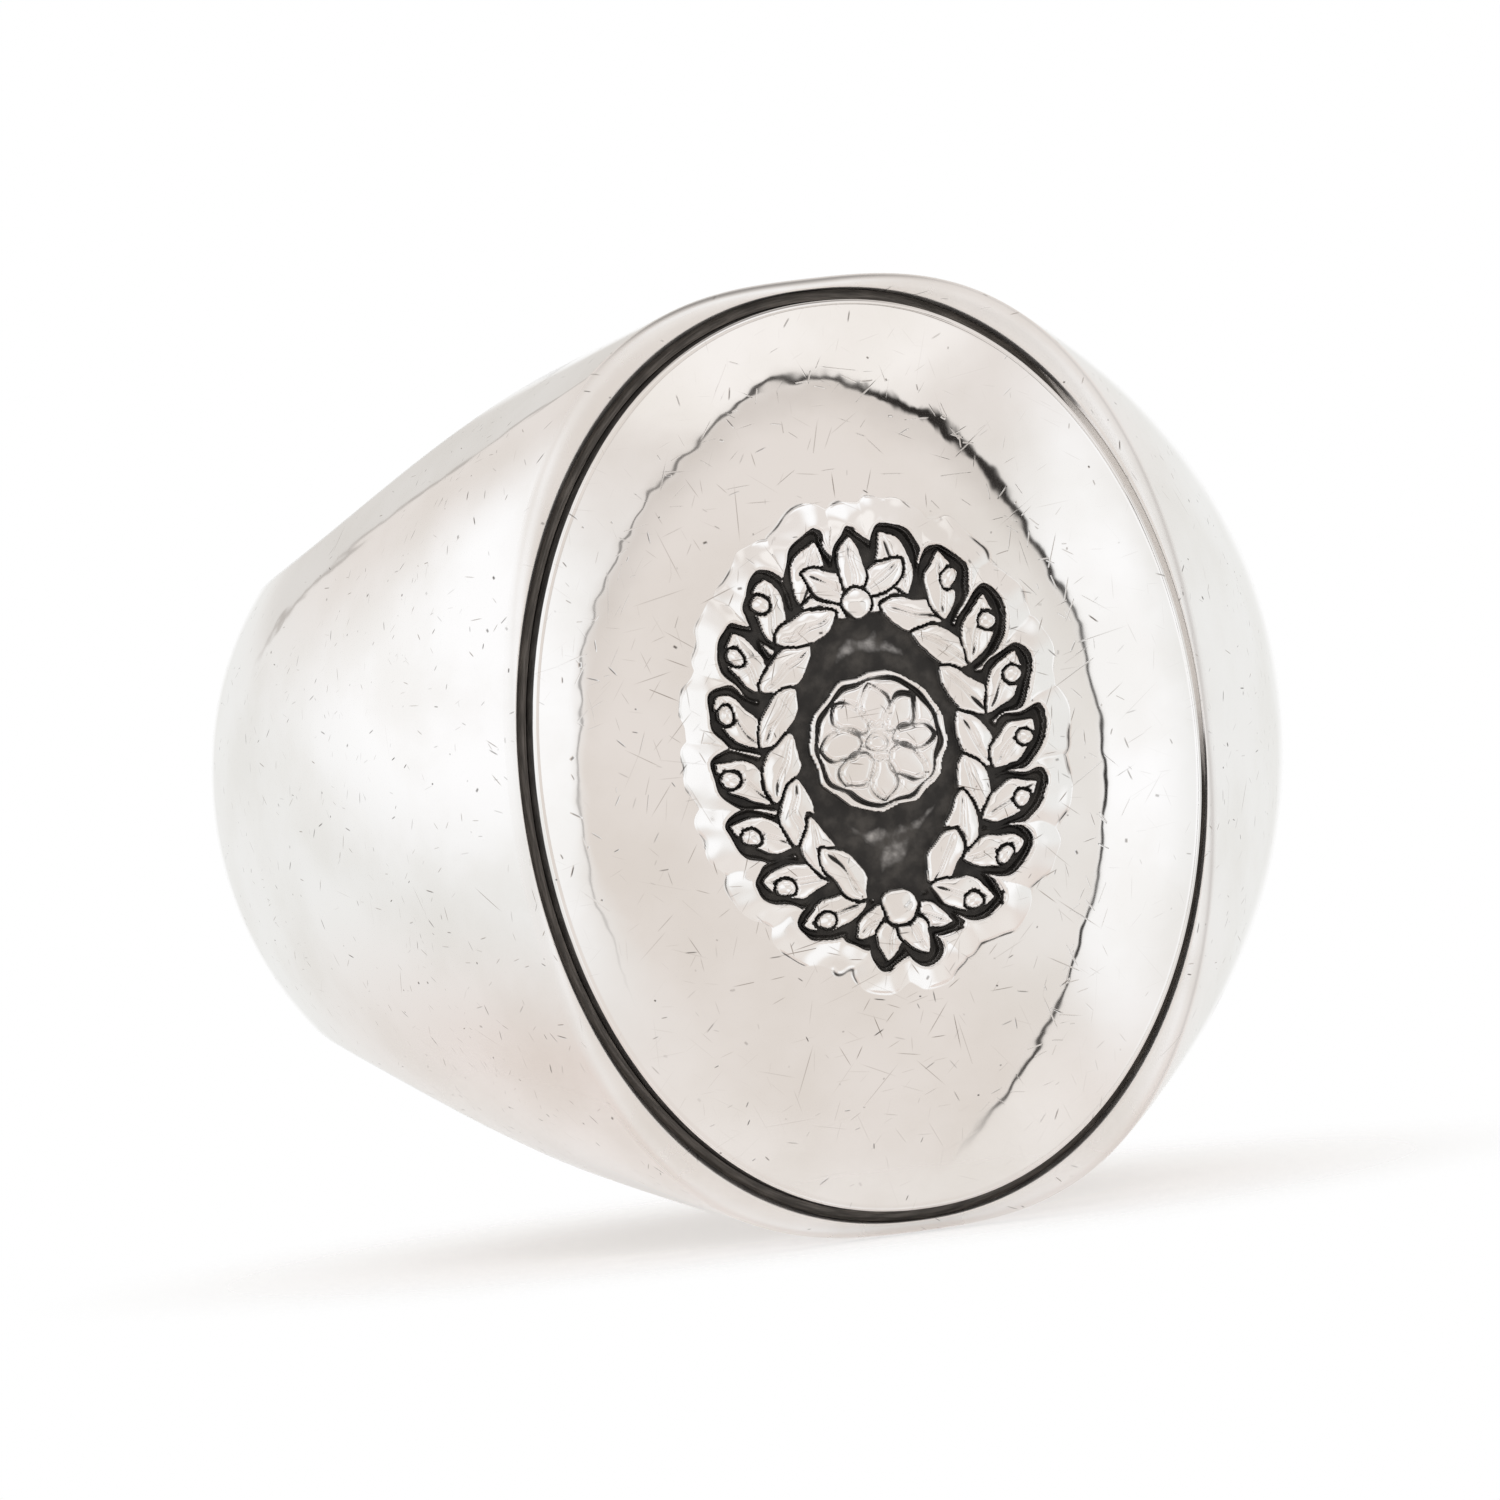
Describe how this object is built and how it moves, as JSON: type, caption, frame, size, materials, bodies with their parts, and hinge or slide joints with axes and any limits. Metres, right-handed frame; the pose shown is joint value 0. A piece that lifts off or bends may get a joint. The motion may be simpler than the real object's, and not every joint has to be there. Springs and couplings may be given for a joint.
{
  "type": "signet ring",
  "caption": "Silver signet ring: a hoop that tapers from an oval head to a domed band, with a blackened groove round a domed face plate and a struck wreath emblem in its middle.",
  "frame": {"origin": "centre of the finger hole, on its axis, halfway along the oval head", "axes": "+Z along the finger hole towards the emblem's top, -Y straight out of the signet face, +X to the right as the face is read"},
  "size_m": [0.0208, 0.0235, 0.0182],
  "materials": {
    "polished_silver": "polished sterling silver, worn, with fine scratches and pits",
    "struck_silver": "polished sterling silver, worn, with fine scratches and pits",
    "worn_relief_silver": "struck sterling silver, bright on its high points",
    "groove_blackening": "matt silver sulphide blackening",
    "ground_blackening": "matt silver sulphide blackening"
  },
  "bodies": {
    "root": {"shank": "polished_silver", "signet_plate": "struck_silver", "groove_inlay": "groove_blackening", "crest_plaque": "worn_relief_silver", "crest_blackening": "ground_blackening"}
  },
  "joints": []
}
